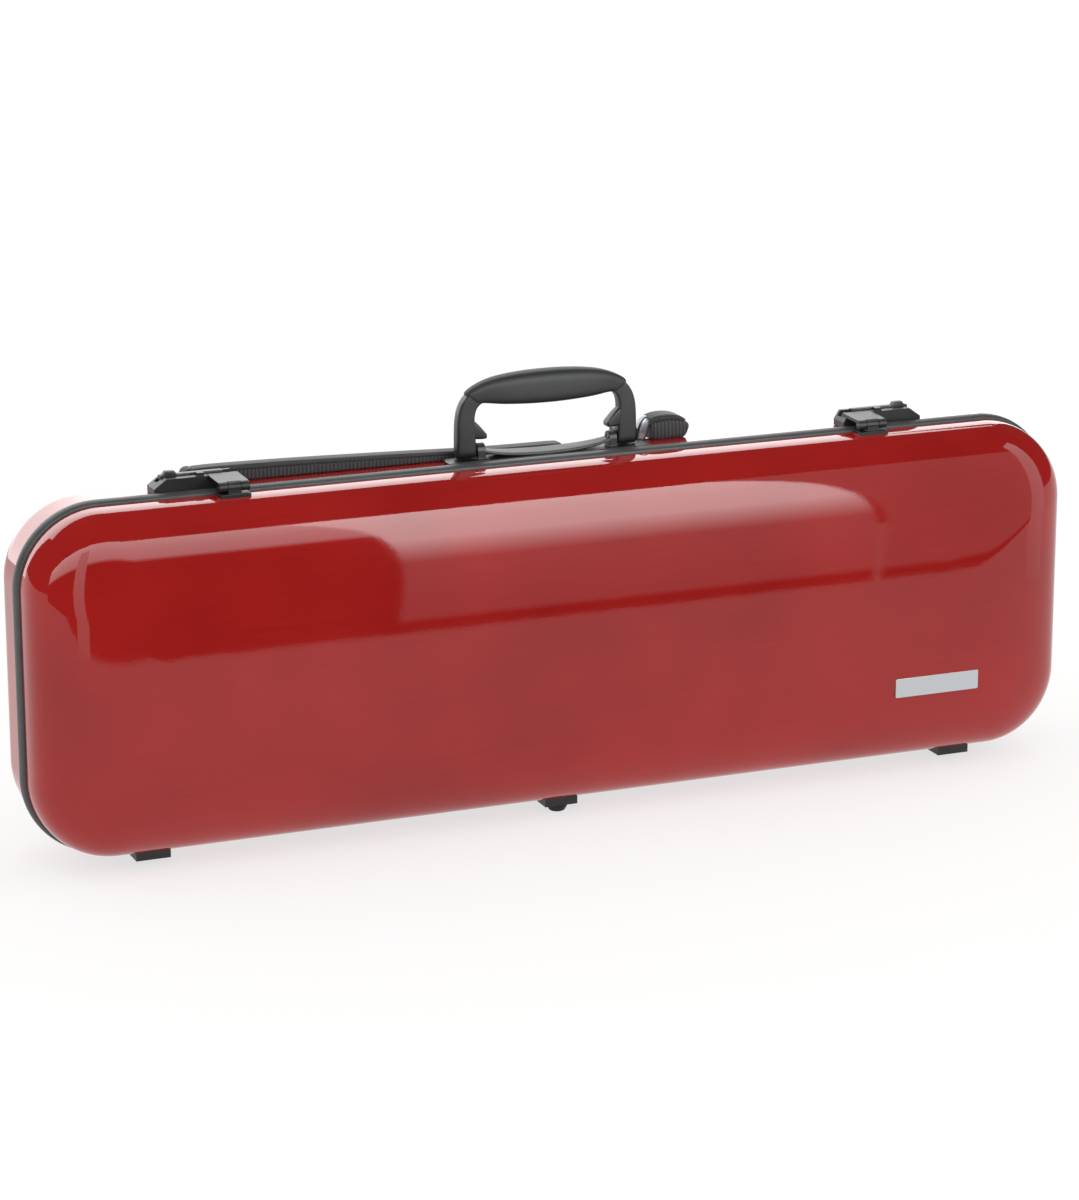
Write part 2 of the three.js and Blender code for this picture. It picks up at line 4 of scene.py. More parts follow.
import bmesh
import bpy
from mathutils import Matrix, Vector


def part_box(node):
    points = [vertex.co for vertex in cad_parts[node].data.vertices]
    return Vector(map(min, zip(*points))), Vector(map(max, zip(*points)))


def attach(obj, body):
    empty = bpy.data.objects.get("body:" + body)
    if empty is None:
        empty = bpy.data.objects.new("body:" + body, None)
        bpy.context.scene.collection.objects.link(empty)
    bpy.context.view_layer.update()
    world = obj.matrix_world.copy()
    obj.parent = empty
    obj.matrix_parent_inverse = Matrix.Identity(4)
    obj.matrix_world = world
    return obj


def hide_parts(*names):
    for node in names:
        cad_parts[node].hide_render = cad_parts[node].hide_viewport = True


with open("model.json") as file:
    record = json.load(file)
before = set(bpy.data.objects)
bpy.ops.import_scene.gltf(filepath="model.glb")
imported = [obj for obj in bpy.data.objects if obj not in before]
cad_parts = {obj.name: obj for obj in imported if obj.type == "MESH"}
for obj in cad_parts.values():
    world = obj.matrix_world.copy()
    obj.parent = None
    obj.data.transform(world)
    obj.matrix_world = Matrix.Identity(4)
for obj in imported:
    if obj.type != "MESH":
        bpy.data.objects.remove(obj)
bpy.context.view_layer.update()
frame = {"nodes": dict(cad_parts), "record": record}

# Sizes and places are in mm unless they are multiplied by mm, which makes them metres.
mm = 0.001

# The seam between lid and base, and the outline of the case, read from the lid's own box.
lidLow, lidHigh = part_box("lid_shell")
edgeGap = 0.4 * mm
seam = {"y": lidHigh.y + edgeGap, "z": (lidLow.z + lidHigh.z) / 2}
case = {"halfX": lidHigh.x, "halfZ": (lidHigh.z - lidLow.z) / 2, "corner": 57 * mm, "shrink": 0.78,
        "steps": 28}


def place(x, y, z):
    # A point in mm from the middle of the seam.
    return Vector((x * mm, seam["y"] + y * mm, seam["z"] + z * mm))


def deselectAll():
    for obj in bpy.context.selected_objects:
        obj.select_set(False)


def activate(obj):
    deselectAll()
    obj.select_set(True)
    bpy.context.view_layer.objects.active = obj


def editing(on):
    bpy.ops.object.mode_set(mode="EDIT" if on else "OBJECT")


def modify(obj, kind, **settings):
    # Adds a modifier and applies it.
    bpy.context.view_layer.objects.active = obj
    made = obj.modifiers.new(kind.lower(), kind)
    for name, value in settings.items():
        setattr(made, name, value)
    bpy.ops.object.modifier_apply(modifier=made.name)


def settle(obj):
    # Puts an object's place, turn and size into its mesh.
    activate(obj)
    bpy.ops.object.transform_apply(location=True, rotation=True, scale=True)


def joinPieces(pieces):
    deselectAll()
    for piece in pieces:
        piece.select_set(True)
    bpy.context.view_layer.objects.active = pieces[0]
    bpy.ops.object.join()
    return bpy.context.object


def finishPiece(obj, name, material, body, nodes=(), smooth=35):
    # Names a piece, gives it its material and its body, and hides the CAD nodes that it stands for.
    obj.name = name
    obj.data.name = name
    settle(obj)
    bpy.ops.object.shade_smooth_by_angle(angle=math.radians(smooth))
    obj.data.materials.clear()
    obj.data.materials.append(material)
    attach(obj, body)
    if nodes:
        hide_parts(*nodes)
    return obj


# The camera's angles are in degrees, its distance is in metres, and its lens is in mm.
camera = {"azimuth": -22.64, "elevation": 15.95, "distance": 2.8979, "aimY": 5.2, "lens": 121.1,
          "shiftX": -0.0135, "shiftY": 0.0215, "near": 0.1, "far": 100}


def addCamera():
    made = bpy.data.cameras.new("camera")
    obj = bpy.data.objects.new("camera", made)
    bpy.context.scene.collection.objects.link(obj)
    turn, rise = math.radians(camera["azimuth"]), math.radians(camera["elevation"])
    back = Vector((math.sin(turn) * math.cos(rise), -math.cos(turn) * math.cos(rise), math.sin(rise)))
    obj.location = place(0, camera["aimY"], 0) + back * camera["distance"]
    obj.rotation_euler = (-back).to_track_quat("-Z", "Y").to_euler()
    made.lens = camera["lens"]
    made.shift_x = camera["shiftX"]
    made.shift_y = camera["shiftY"]
    made.clip_start = camera["near"]
    made.clip_end = camera["far"]
    bpy.context.scene.camera = obj


addCamera()


def linear(code, alpha=1.0):
    # An sRGB hex colour as the linear values that the shaders take.
    parts = [int(code[i:i + 2], 16) / 255 for i in (0, 2, 4)]
    return (*[c / 12.92 if c <= 0.04045 else ((c + 0.055) / 1.055) ** 2.4 for c in parts], alpha)


def addNode(tree, kind, settings=None, inputs=None):
    made = tree.nodes.new(kind)
    for name, value in (settings or {}).items():
        setattr(made, name, value)
    for name, value in (inputs or {}).items():
        if isinstance(value, bpy.types.NodeSocket):
            tree.links.new(value, made.inputs[name])
        else:
            made.inputs[name].default_value = value
    return made


def addRamp(tree, factor, stops):
    # Stops are pairs of position and linear colour.
    made = addNode(tree, "ShaderNodeValToRGB", inputs={"Fac": factor})
    elements = made.color_ramp.elements
    while len(elements) < len(stops):
        elements.new(0.5)
    for element, (position, colour) in zip(elements, stops):
        element.position = position
        element.color = colour
    return made.outputs["Color"]


white = (1, 1, 1, 1)
light = {"dome": 1.0, "domeInGloss": 0.05, "floorGlow": 0.68, "floorColour": "9E9E9D", "floorSize": 60}
# Cards that only show as reflections: middle, width and height in metres, facing, and glow as pairs of
# position and strength from bottom to top.
cards = {
    "front": {"at": (0.235, -0.51, 0.445), "size": (0.43, 0.83), "face": (0, 1, 0),
              "glow": [(0, 0.03), (0.02, 0.03), (0.03, 0.75), (0.26, 1.0), (0.44, 7.2), (1, 8.8)]},
    "frontRight": {"at": (1.008, -0.51, 0.445), "size": (1.1, 0.83), "face": (0, 1, 0),
                   "glow": [(0, 0.03), (0.02, 0.03), (0.03, 0.7), (1, 0.85)]},
    "frontLeft": {"at": (-0.9, -0.51, 0.445), "size": (1.84, 0.83), "face": (0, 1, 0),
                  "glow": [(0, 0.02), (0.5, 0.02), (0.55, 3.2), (1, 5.5)]},
    "leftStrip": {"at": (-0.565, -0.5, 0.36), "size": (0.11, 0.66), "face": (0, 1, 0),
                  "glow": [(0, 1.2), (1, 2.6)]},
    "rightStrip": {"at": (0.74, -0.24, 0.4), "size": (0.14, 0.74), "face": (-0.9, 0.44, 0),
                   "glow": [(0, 1.2), (1, 3)]},
    "overhead": {"at": (0, 1.65, 1.3), "size": (2.6, 0.9), "face": (0, 0, -1),
                 "glow": [(0, 3.4), (1, 3.4)]},
    "behind": {"at": (0.2, 1.9, 0.67), "size": (3.0, 1.3), "face": (0, -1, 0),
               "glow": [(0, 3), (1, 3.4)]},
}


def addCard(name, settings):
    width, height = settings["size"]
    bpy.ops.mesh.primitive_plane_add(size=1)
    card = bpy.context.object
    card.name = "card_" + name
    card.scale = (width, height, 1)
    card.rotation_euler = Vector(settings["face"]).to_track_quat("Z", "Y").to_euler()
    card.location = settings["at"]
    glow = bpy.data.materials.new("card glow " + name)
    glow.use_nodes = True
    tree = glow.node_tree
    tree.nodes.clear()
    coordinates = addNode(tree, "ShaderNodeTexCoord")
    split = addNode(tree, "ShaderNodeSeparateXYZ", inputs={"Vector": coordinates.outputs["Object"]})
    upwards = addNode(tree, "ShaderNodeMath", {"operation": "ADD"}, {0: split.outputs["Y"], 1: 0.5})
    most = max(level for _, level in settings["glow"])
    stops = [(position, (level / most,) * 3 + (1,)) for position, level in settings["glow"]]
    fade = addRamp(tree, upwards.outputs[0], stops)
    emission = addNode(tree, "ShaderNodeEmission", inputs={"Color": fade, "Strength": most})
    addNode(tree, "ShaderNodeOutputMaterial", inputs={"Surface": emission.outputs[0]})
    card.data.materials.append(glow)
    card.visible_camera = False
    card.visible_diffuse = False
    card.visible_shadow = False


def addDome():
    # White light from all round, dimmed where it would show in glossy surfaces.
    world = bpy.data.worlds.new("studio dome")
    bpy.context.scene.world = world
    world.use_nodes = True
    tree = world.node_tree
    tree.nodes.clear()
    path = addNode(tree, "ShaderNodeLightPath")
    bright = addNode(tree, "ShaderNodeBackground", inputs={"Color": white, "Strength": light["dome"]})
    dim = addNode(tree, "ShaderNodeBackground", inputs={"Color": white, "Strength": light["domeInGloss"]})
    mixed = addNode(tree, "ShaderNodeMixShader", inputs={
        0: path.outputs["Is Glossy Ray"], 1: bright.outputs[0], 2: dim.outputs[0]})
    addNode(tree, "ShaderNodeOutputWorld", inputs={"Surface": mixed.outputs[0]})


def addFloor():
    bpy.ops.mesh.primitive_plane_add(size=light["floorSize"], location=(0, 0, 0))
    floor = bpy.context.object
    floor.name = "floor"
    paper = bpy.data.materials.new("pale studio paper")
    paper.use_nodes = True
    tree = paper.node_tree
    tree.nodes.clear()
    matt = addNode(tree, "ShaderNodeBsdfDiffuse", inputs={"Color": linear(light["floorColour"])})
    glow = addNode(tree, "ShaderNodeEmission", inputs={"Color": white, "Strength": light["floorGlow"]})
    both = addNode(tree, "ShaderNodeAddShader", inputs={0: matt.outputs[0], 1: glow.outputs[0]})
    addNode(tree, "ShaderNodeOutputMaterial", inputs={"Surface": both.outputs[0]})
    floor.data.materials.append(paper)


def addStudio():
    bpy.context.scene.view_settings.view_transform = "Standard"
    bpy.context.scene.view_settings.look = "None"
    addDome()
    addFloor()
    for name, settings in cards.items():
        addCard(name, settings)


addStudio()
print("studio ready")


def startMaterial(name):
    made = bpy.data.materials.new(name)
    made.use_nodes = True
    tree = made.node_tree
    tree.nodes.clear()
    coordinates = addNode(tree, "ShaderNodeTexCoord")
    return made, tree, coordinates.outputs["Object"]


def finishMaterial(made, tree, inputs):
    surface = addNode(tree, "ShaderNodeBsdfPrincipled", inputs=inputs)
    addNode(tree, "ShaderNodeOutputMaterial", inputs={"Surface": surface.outputs[0]})
    return made


def addStretch(tree, vector, scale):
    return addNode(tree, "ShaderNodeMapping", inputs={"Vector": vector, "Scale": scale}).outputs[0]


def addNoise(tree, vector, scale, detail, distortion=0):
    made = addNode(tree, "ShaderNodeTexNoise", inputs={
        "Vector": vector, "Scale": scale, "Detail": detail, "Distortion": distortion})
    return made.outputs["Fac"]


def addBands(tree, vector, axis, spacing, distortion):
    # Waves across one axis, spacing mm apart. The texture repeats every bandLength at a scale of 1.
    bandLength = 0.314
    made = addNode(tree, "ShaderNodeTexWave", {"wave_type": "BANDS", "bands_direction": axis}, {
        "Vector": vector, "Scale": bandLength / (spacing * mm), "Distortion": distortion, "Detail": 1})
    return made.outputs["Fac"]


def addShare(tree, pattern, share, other):
    # A share of one pattern on top of the other.
    made = addNode(tree, "ShaderNodeMath", {"operation": "MULTIPLY_ADD"}, {0: pattern, 1: share, 2: other})
    return made.outputs[0]


def addRange(tree, pattern, low, high):
    made = addNode(tree, "ShaderNodeMapRange", inputs={"Value": pattern, "To Min": low, "To Max": high})
    return made.outputs[0]


def addBump(tree, height, strength, depth):
    # The depth of the relief is in mm.
    made = addNode(tree, "ShaderNodeBump", inputs={
        "Strength": strength, "Distance": depth * mm, "Height": height})
    return made.outputs[0]


def polycarbonate():
    # Thermoformed polycarbonate under a clear gloss film: deep red, mirror-like, with a faint orange peel
    # that makes the edges of reflections wander, and fine streaks along the length.
    made, tree, where = startMaterial("gloss red polycarbonate")
    streaks = addNoise(tree, addStretch(tree, where, (12, 900, 900)), scale=1.0, detail=3)
    clouds = addNoise(tree, where, scale=9, detail=2)
    tint = addShare(tree, streaks, 0.35, clouds)
    smudge = addNoise(tree, where, scale=30, detail=5)
    peel = addNoise(tree, where, scale=420, detail=1)
    wave = addNoise(tree, where, scale=28, detail=1)
    return finishMaterial(made, tree, {
        "Base Color": addRamp(tree, tint, [(0.42, linear("8E1715")), (0.95, linear("A31F1C"))]),
        "Roughness": addRange(tree, smudge, 0.03, 0.075),
        "IOR": 1.46,
        "Normal": addBump(tree, addShare(tree, wave, 6.0, peel), strength=0.2, depth=0.04)})


def mouldedPlastic(name, dark, pale, rough, grain, depth):
    # Plastic or rubber with the grain of a spark-eroded mould: satin, slightly paler where it is rubbed.
    # The grain's spacing and the depth of its relief are in mm.
    made, tree, where = startMaterial(name)
    pits = addNoise(tree, where, scale=1 / (grain * mm), detail=2)
    patches = addNoise(tree, where, scale=60, detail=4)
    return finishMaterial(made, tree, {
        "Base Color": addRamp(tree, patches, [(0.3, linear(dark)), (0.75, linear(pale))]),
        "Roughness": addRange(tree, patches, rough - 0.05, rough + 0.07),
        "IOR": 1.5,
        "Normal": addBump(tree, pits, strength=0.35, depth=depth)})


def finishedMetal(name, colour, rough, stretch):
    # Brushed, turned or plated metal. The lines of brushed and turned metal run along the axis whose stretch
    # is the least, and a plated piece has none.
    made, tree, where = startMaterial(name)
    lines = addNoise(tree, addStretch(tree, where, stretch), scale=1.0, detail=4)
    return finishMaterial(made, tree, {
        "Base Color": linear(colour),
        "Metallic": 1.0,
        "Roughness": addRange(tree, lines, rough - 0.08, rough + 0.1),
        "Normal": addBump(tree, lines, strength=0.3, depth=0.02)})


def wovenCloth(name, dark, pale, thread, rough, depth, sheen):
    # Woven synthetic cloth: over-and-under threads as two crossed waves. Real ones, thread mm apart, are too
    # fine to show, so they are drawn coarser.
    coarser = 6.28
    made, tree, where = startMaterial(name)
    across, upright = [addBands(tree, where, axis, thread * coarser, 0.4) for axis in ("X", "Z")]
    weave = addNode(tree, "ShaderNodeMath", {"operation": "MULTIPLY"}, {0: across, 1: upright})
    fuzz = addNoise(tree, where, scale=700, detail=3)
    mixed = addShare(tree, fuzz, 0.5, weave.outputs[0])
    return finishMaterial(made, tree, {
        "Base Color": addRamp(tree, mixed, [(0.2, linear(dark)), (1.0, linear(pale))]),
        "Roughness": rough,
        "Sheen Weight": sheen,
        "Sheen Roughness": 0.5,
        "Normal": addBump(tree, mixed, strength=0.6, depth=depth)})


def velvetPlush(name, dark, pale):
    # Short-pile plush glued over foam: soft patches where the pile lies one way or another, and a pale sheen.
    # The pile is too fine to show, so it is drawn coarser.
    made, tree, where = startMaterial(name)
    pile = addNoise(tree, where, scale=900, detail=2)
    lay = addNoise(tree, where, scale=26, detail=4, distortion=0.6)
    mixed = addShare(tree, pile, 0.5, lay)
    return finishMaterial(made, tree, {
        "Base Color": addRamp(tree, mixed, [(0.4, linear(dark)), (1.0, linear(pale))]),
        "Roughness": 0.95,
        "Sheen Weight": 0.7,
        "Sheen Roughness": 0.35,
        "Normal": addBump(tree, mixed, strength=0.5, depth=0.4)})


def ribbedCloth(name, dark, pale, pitch):
    # Heavy woven webbing seen from its ribbed side: upright cords pitch mm apart, with painted shade
    # darkening the grooves between them.
    made, tree, where = startMaterial(name)
    cords = addBands(tree, where, "X", pitch, 0.5)
    fuzz = addNoise(tree, where, scale=900, detail=3)
    mixed = addShare(tree, fuzz, 0.3, cords)
    return finishMaterial(made, tree, {
        # The dark end of the ramp is painted shade in the grooves between the cords, on top of the bump's
        # relief.
        "Base Color": addRamp(tree, mixed, [(0.15, linear(dark)), (1.0, linear(pale))]),
        "Roughness": 0.75,
        "Sheen Weight": 0.2,
        "Sheen Roughness": 0.5,
        "Normal": addBump(tree, mixed, strength=0.8, depth=0.6)})


red = polycarbonate()
ribbedWebbing = ribbedCloth("ribbed nylon webbing", "0B0B0C", "3A3B3D", pitch=2.9)
bandPlastic = mouldedPlastic("satin vinyl edge band", "3A3C3C", "464848", rough=0.52, grain=0.35, depth=0.03)
fittingPlastic = mouldedPlastic("moulded black ABS", "181919", "222424", rough=0.42, grain=0.3, depth=0.03)
softTouch = mouldedPlastic("soft-touch rubber grip", "1C1E1E", "262828", rough=0.6, grain=0.25, depth=0.03)
rubber = mouldedPlastic("moulded black rubber", "101010", "1A1A1A", rough=0.75, grain=0.5, depth=0.05)
steel = finishedMetal("turned steel pin", "9C9EA0", rough=0.3, stretch=(300, 3000, 3000))
gunmetal = finishedMetal("plated zinc hook", "77797C", rough=0.28, stretch=(900, 900, 900))
plate = finishedMetal("brushed anodised aluminium", "C4C7CA", rough=0.36, stretch=(60, 4000, 4000))
plush = velvetPlush("short-pile velvet plush", "2C2E33", "5C5F66")
padCloth = wovenCloth("woven nylon strap cloth", "161617", "2C2C2E",
                      thread=0.45, rough=0.8, depth=0.15, sheen=0.3)
webbing = wovenCloth("polypropylene webbing", "0E0E0F", "2A2A2C",
                     thread=1.6, rough=0.7, depth=0.3, sheen=0.2)
pocketCloth = wovenCloth("woven polyester lining", "1B1C20", "36383E",
                         thread=0.35, rough=0.85, depth=0.1, sheen=0.4)

slotMaterials = {
    "shell_red": red, "band_black": bandPlastic, "fitting_black": fittingPlastic, "grip_black": softTouch,
    "rubber_black": rubber, "steel_pin": steel, "hook_metal": gunmetal, "plate_silver": plate,
    "plush_grey": plush, "strap_black": webbing, "pocket_black": pocketCloth,
}
# How the carried-over solids are finished: lengths in mm and angles in degrees.
cadFinish = {"weld": 0.02, "flat": 1.0, "edge": 0.35, "edgeSteps": 2, "edgeAngle": 35}


def dressCadNodes():
    # Every carried-over solid takes the material of its slot and gets its hard edges broken.
    for part in frame["record"]["subparts"]:
        obj = frame["nodes"][part["node"]]
        obj.data.materials.clear()
        obj.data.materials.append(slotMaterials[part["material_slot"]])
        obj.modifiers.new("weld", "WELD").merge_threshold = cadFinish["weld"] * mm
        flat = obj.modifiers.new("flat faces", "DECIMATE")
        flat.decimate_type = "DISSOLVE"
        flat.angle_limit = math.radians(cadFinish["flat"])
        edges = obj.modifiers.new("edges", "BEVEL")
        edges.width = cadFinish["edge"] * mm
        edges.segments = cadFinish["edgeSteps"]
        edges.limit_method = "ANGLE"
        edges.angle_limit = math.radians(cadFinish["edgeAngle"])
        edges.harden_normals = False


dressCadNodes()
print("materials ready")


def cornerRadius(offset, shrink):
    # Inward rings have tighter corners, but never sharp ones.
    return case["corner"] * math.exp(shrink * offset / case["corner"])


def startOutline(offset, y, shrink):
    # A rounded rectangle of edges round the case, left selected in edit mode.
    deselectAll()
    bpy.ops.mesh.primitive_plane_add(size=2, location=(0, y, seam["z"]), rotation=(math.pi / 2, 0, 0))
    obj = bpy.context.object
    obj.scale = (case["halfX"] + offset, case["halfZ"] + offset, 1)
    settle(obj)
    editing(True)
    bpy.ops.mesh.select_all(action="SELECT")
    bpy.ops.mesh.bevel(affect="VERTICES", offset=cornerRadius(offset, shrink), segments=case["steps"],
                       profile=0.5, clamp_overlap=False)
    bpy.ops.mesh.delete(type="ONLY_FACE")
    bpy.ops.mesh.select_all(action="SELECT")
    return obj


def selectVerts(indices):
    mesh = bmesh.from_edit_mesh(bpy.context.object.data)
    mesh.verts.ensure_lookup_table()
    for index in indices:
        mesh.verts[index].select_set(True)
    mesh.select_flush_mode()
    bmesh.update_edit_mesh(bpy.context.object.data)


def cornerMiddle(sx, sz, offset, y, radius):
    # The middle of one corner's arc, for a ring at an offset from the case's outline.
    x, z = case["halfX"] + offset - radius, case["halfZ"] + offset - radius
    return Vector((sx * x, y, seam["z"] + sz * z))


def stepOutline(old, new, shrink):
    # Extrudes the selected ring, and moves and resizes its four corners to reach the next ring.
    bpy.ops.mesh.extrude_edges_move(TRANSFORM_OT_translate={"value": (0, new[1] - old[1], 0)})
    mesh = bmesh.from_edit_mesh(bpy.context.object.data)
    oldRadius, newRadius = cornerRadius(old[0], shrink), cornerRadius(new[0], shrink)
    quadrants = {(sx, sz): [] for sx in (-1, 1) for sz in (-1, 1)}
    for vert in mesh.verts:
        if vert.select:
            side = (1 if vert.co.x > 0 else -1, 1 if vert.co.z > seam["z"] else -1)
            quadrants[side].append(vert.index)
    for (sx, sz), indices in quadrants.items():
        bpy.ops.mesh.select_all(action="DESELECT")
        selectVerts(indices)
        oldMiddle = cornerMiddle(sx, sz, old[0], new[1], oldRadius)
        newMiddle = cornerMiddle(sx, sz, new[0], new[1], newRadius)
        scale = newRadius / oldRadius
        bpy.ops.transform.resize(value=(scale, 1, scale), center_override=oldMiddle)
        bpy.ops.transform.translate(value=newMiddle - oldMiddle)
    for indices in quadrants.values():
        selectVerts(indices)


def carryRound(rings, capped, shrink=case["shrink"]):
    # Carries the outline through rings of offset and y in metres. A capped skin ends in a flat face, and one
    # that isn't capped ends where it began, as a closed bead does.
    bpy.context.tool_settings.mesh_select_mode = (True, False, False)
    obj = startOutline(*rings[0], shrink)
    for old, new in zip(rings, rings[1:]):
        stepOutline(old, new, shrink)
    if capped:
        bpy.ops.mesh.edge_face_add()
    bpy.ops.mesh.select_all(action="SELECT")
    bpy.ops.mesh.remove_doubles(threshold=0.01 * mm)
    bpy.ops.mesh.normals_make_consistent(inside=False)
    editing(False)
    return obj


# Each shell is straight as far as start, leaning in by draft, then curves in by run to reach its depth.
# The lid's edge turns in by lip, and the base begins at front, under the band.
lidShape = {"start": 3, "depth": 54.4, "run": 105, "power": 2.75, "draft": 0, "steps": 34, "wall": 2.4,
            "lip": 1.1, "lipEnd": 1.6, "edge": 0.3, "edgeAngle": 50}
baseShape = {"front": 3.7, "start": 40, "depth": 79, "run": 62, "power": 2.35, "draft": 1.4, "steps": 26,
             "wall": 2.4, "shrink": 0.36}


def dome(shape, sign):
    # Rings of a crowned shell: from the straight edge, over a superellipse, to a flat middle.
    rings = []
    for step in range(1, shape["steps"] + 1):
        turn = (step / shape["steps"]) * math.pi / 2
        run = 1 - math.cos(turn) ** (2 / shape["power"])
        rise = math.sin(turn) ** (2 / shape["power"])
        offset = -shape["draft"] - shape["run"] * run
        depth = shape["start"] + (shape["depth"] - shape["start"]) * rise
        rings.append((offset * mm, seam["y"] + sign * depth * mm))
    return rings


def baseTopAt(y):
    # The height of the base's top edge at a depth y behind the seam.
    turned = max(0, (y - baseShape["start"]) / (baseShape["depth"] - baseShape["start"]))
    rise = (1 - turned ** baseShape["power"]) ** (1 / baseShape["power"])
    return case["halfZ"] / mm - baseShape["draft"] - baseShape["run"] * (1 - rise)


def addLid():
    lip = [(-lidShape["lip"] * mm, seam["y"] - edgeGap), (0, seam["y"] - lidShape["lipEnd"] * mm),
           (0, seam["y"] - lidShape["start"] * mm)]
    lid = carryRound(lip + dome(lidShape, -1), capped=True)
    modify(lid, "SOLIDIFY", thickness=lidShape["wall"] * mm, offset=-1)
    modify(lid, "BEVEL", width=lidShape["edge"] * mm, segments=2, limit_method="ANGLE",
           angle_limit=math.radians(lidShape["edgeAngle"]))
    finishPiece(lid, "lid_skin", red, "lid", ["lid_shell"])


def addBase():
    straight = [(0, seam["y"] + baseShape["front"] * mm),
                (-baseShape["draft"] * mm, seam["y"] + baseShape["start"] * mm)]
    base = carryRound(straight + dome(baseShape, 1), capped=True, shrink=baseShape["shrink"])
    modify(base, "SOLIDIFY", thickness=baseShape["wall"] * mm, offset=-1)
    finishPiece(base, "base_skin", red, "base", ["base_shell"])


addLid()
addBase()
print("shells ready")

# The band on the base's edge: a half-round bead from front over width, standing root to proud out of the
# outline, and closed inside it at inner.
bead = {"front": 0.4, "width": 12, "root": 0.3, "proud": 2.6, "inner": -2.2, "steps": 12, "smooth": 50}


def addBand():
    points = []
    for step in range(bead["steps"] + 1):
        turn = math.pi * step / bead["steps"]
        offset = bead["root"] + (bead["proud"] - bead["root"]) * math.sin(turn)
        points.append((offset, bead["front"] + bead["width"] * (1 - math.cos(turn)) / 2))
    points += [(bead["inner"], bead["front"] + bead["width"]), (bead["inner"], bead["front"]), points[0]]
    band = carryRound([(offset * mm, seam["y"] + y * mm) for offset, y in points], capped=False)
    finishPiece(band, "edge_band", bandPlastic, "base", ["base_valance"],
                smooth=bead["smooth"])


addBand()
print("band ready")


def loft(y, stations, corner=0.3, segments=3, levels=1):
    # Carries a rounded section along stations at one depth y. Each station is x, z and the direction of
    # travel in degrees, then the section's thickness and depth. corner is a share of the thinner side.
    bpy.context.tool_settings.mesh_select_mode = (False, False, True)
    deselectAll()
    x, z, angle, thick, depth = stations[0]
    here = place(x, y, z)
    bpy.ops.mesh.primitive_plane_add(size=1, location=here)
    obj = bpy.context.object
    obj.scale = (thick * mm, depth * mm, 1)
    bpy.ops.object.transform_apply(location=True, rotation=True, scale=True)
    editing(True)
    bpy.ops.mesh.select_all(action="SELECT")
    bpy.ops.mesh.bevel(affect="VERTICES", offset=corner * min(thick, depth) * mm, segments=segments,
                       profile=0.5)
    bpy.ops.mesh.select_all(action="SELECT")
    bpy.ops.transform.rotate(value=math.radians(angle - 90), orient_axis="Y", center_override=here)
    for x, z, nextAngle, nextThick, nextDepth in stations[1:]:
        there = place(x, y, z)
        bpy.ops.mesh.extrude_region_move(TRANSFORM_OT_translate={"value": there - here})
        bpy.ops.transform.rotate(value=math.radians(90 - angle), orient_axis="Y", center_override=there)
        bpy.ops.transform.resize(value=(nextThick / thick, nextDepth / depth, 1), center_override=there)
        bpy.ops.transform.rotate(value=math.radians(nextAngle - 90), orient_axis="Y", center_override=there)
        here, angle, thick, depth = there, nextAngle, nextThick, nextDepth
    bpy.ops.mesh.select_all(action="SELECT")
    bpy.ops.mesh.normals_make_consistent(inside=False)
    editing(False)
    if levels:
        modify(obj, "SUBSURF", levels=levels, render_levels=levels)
    return obj


def mirrored(half):
    # The stations of one half, then the same ones on the other side, in the order of travel.
    return half + [(-x, z, -angle, thick, depth) for x, z, angle, thick, depth in reversed(half[:-1])]


# The folding handle at depth y. legs, swell and saddle are stations of the left half as far as the middle,
# and claw is the x, z and thickness of the point that each leg turns inwards under the grip.
handle = {
    "y": 24,
    "legs": [(-61.8, 125.4, 90, 13.6, 4), (-61.8, 126, 90, 14.6, 6.4), (-61.8, 128, 90, 14.6, 9.6),
             (-61.8, 130.4, 90, 14.6, 10.3), (-61.8, 137.4, 90, 14.6, 10.3), (-62.2, 150, 90, 13.4, 10.3),
             (-61.8, 157, 84, 12.6, 10.3), (-59.4, 164.5, 66, 12.2, 10.3), (-53.5, 169.6, 38, 12, 10.3),
             (-45, 172.6, 18, 11.6, 10.3), (-30, 174, 6, 11, 10.3), (0, 174.4, 0, 11, 10.3)],
    "claw": [(59, 147, 15), (55, 145.4, 13.4), (51, 143.2, 9.6), (47.8, 141.2, 5.6), (46, 140.6, 2.6)],
    "clawDepth": 9.7,
    "swell": [(-58, 167.2, 56, 12.9, 11.2), (-55, 169.4, 44, 13.6, 12), (-48.5, 171.2, 27, 16, 14.5),
              (-41, 172.2, 14, 19, 17.6), (-30, 172.8, 6, 21.6, 20.2), (-14, 173, 2, 23.6, 21.8),
              (0, 173, 0, 24, 22)],
    "saddle": [(-52, 130.8, -22, 2, 9.6), (-46, 129, -16, 2.2, 11), (-34, 126.8, -9, 2.4, 15),
               (-16, 125.6, -3, 2.6, 17.6), (0, 125.3, 0, 2.6, 18)],
}


def addHandle():
    y = handle["y"]
    pieces = [loft(y, mirrored(handle["legs"]), levels=2)]
    for side, turn in ((-1, 0), (1, 180)):
        claw = [(side * x, z, turn, thick, handle["clawDepth"]) for x, z, thick in handle["claw"]]
        pieces.append(loft(y, claw, levels=2))
    arch = joinPieces(pieces)
    finishPiece(arch, "handle_arch", fittingPlastic, "handle", ["handle_frame"], smooth=60)

    sleeve = loft(y, mirrored(handle["swell"]), corner=0.34, levels=2)
    finishPiece(sleeve, "grip_sleeve", softTouch, "handle", ["handle_grip"], smooth=60)

    saddle = loft(y, mirrored(handle["saddle"]), corner=0.45)
    finishPiece(saddle, "handle_saddle", bandPlastic, "base", smooth=60)


addHandle()

